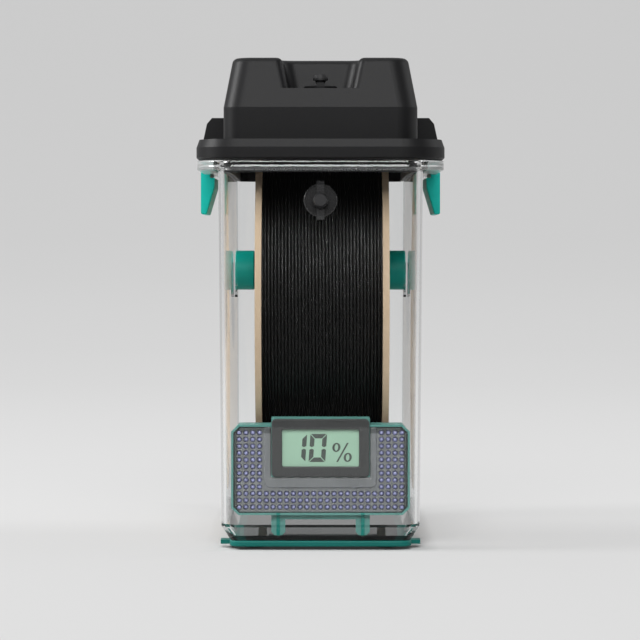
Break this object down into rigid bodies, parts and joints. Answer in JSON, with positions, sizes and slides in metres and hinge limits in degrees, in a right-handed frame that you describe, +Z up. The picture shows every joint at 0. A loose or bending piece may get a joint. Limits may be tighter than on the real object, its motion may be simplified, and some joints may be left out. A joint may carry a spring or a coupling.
{
  "type": "filament dryer box",
  "caption": "Clear dry box for a filament spool, with a latched domed lid, a roller axle, a desiccant cartridge with a hygrometer, and plugged filament outlets.",
  "frame": {"origin": "on the floor under the middle of the box", "axes": "+X to the right across the narrow width, +Y to the rear, +Z up; the outlet and the hygrometer are on the -Y front"},
  "size_m": [0.1238, 0.2432, 0.2417],
  "materials": {
    "clear_plastic": "clear",
    "teal_plastic": "satin",
    "cartridge_teal": "satin",
    "black_rubber": "matte",
    "steel": "turned",
    "smoked_plastic": "smoked",
    "desiccant": "beads",
    "grey_plastic": "fine texture",
    "lcd": "polariser film",
    "circuit_board": "solder mask",
    "black_plastic": "satin",
    "plug_silicone": "silicone",
    "lid_black": "fine texture",
    "cardboard": "kraft",
    "filament": "satin",
    "bush_plastic": "natural"
  },
  "bodies": {
    "box": {"container": "clear_plastic", "base_tray": "teal_plastic", "rubber_feet": "black_rubber", "axle_shaft": "steel", "axle_cap_left": "teal_plastic", "axle_cap_right": "teal_plastic", "cartridge_frame": "cartridge_teal", "cartridge_cover": "smoked_plastic", "cartridge_grille": "smoked_plastic", "desiccant_fill": "desiccant", "hygrometer_bezel": "grey_plastic", "hygrometer_case": "grey_plastic", "lcd_panel": "lcd", "hygrometer_board": "circuit_board", "coin_cells": "steel", "front_outlet_collar": "black_plastic", "front_outlet_washer": "black_rubber", "front_outlet_nut": "black_plastic"},
    "lid": {"lid_shell": "lid_black", "lid_gasket": "black_rubber", "latch_pin_left": "steel", "latch_pin_right": "steel", "top_outlet_collar": "black_plastic", "top_outlet_washer": "black_rubber", "top_outlet_nut": "black_plastic"},
    "left_latch": {"latch_left": "teal_plastic"},
    "right_latch": {"latch_right": "teal_plastic"},
    "spool": {"spool_flange_left": "cardboard", "spool_flange_right": "cardboard", "spool_core": "cardboard", "filament_pack": "filament", "filament_outer_layer": "filament"},
    "roller": {"roller_sleeve": "teal_plastic", "roller_bush_left": "bush_plastic", "roller_bush_right": "bush_plastic"},
    "front_stopper": {"front_plug": "plug_silicone"},
    "top_stopper": {"top_plug": "plug_silicone"}
  },
  "joints": [
    {"name": "lid_lift", "type": "slide", "parent": "box", "child": "lid", "axis": [0, 0, 1], "range_m": [0, 0.06]},
    {"name": "latch_left_swing", "type": "hinge", "parent": "lid", "child": "left_latch", "pos_m": [-0.05605, 0, 0.2086], "axis": [0, 1, 0], "range_deg": [0, 133]},
    {"name": "latch_right_swing", "type": "hinge", "parent": "lid", "child": "right_latch", "pos_m": [0.05605, 0, 0.2086], "axis": [0, -1, 0], "range_deg": [0, 133]},
    {"name": "spool_spin", "type": "hinge", "parent": "box", "child": "spool", "pos_m": [0, 0, 0.1211], "axis": [1, 0, 0], "continuous": true},
    {"name": "roller_spin", "type": "hinge", "parent": "box", "child": "roller", "pos_m": [0, 0, 0.1365], "axis": [1, 0, 0], "continuous": true},
    {"name": "front_plug_pull", "type": "slide", "parent": "box", "child": "front_stopper", "axis": [0, -1, 0], "range_m": [0, 0.02]},
    {"name": "top_plug_pull", "type": "slide", "parent": "lid", "child": "top_stopper", "axis": [0, 0, 1], "range_m": [0, 0.02]}
  ],
  "couplings": [
    {"joint": "latch_left_swing", "follows": "lid_lift", "rad_per_m": 38.4},
    {"joint": "latch_right_swing", "follows": "lid_lift", "rad_per_m": 38.4},
    {"joint": "roller_spin", "follows": "spool_spin", "ratio": 2.5243}
  ]
}
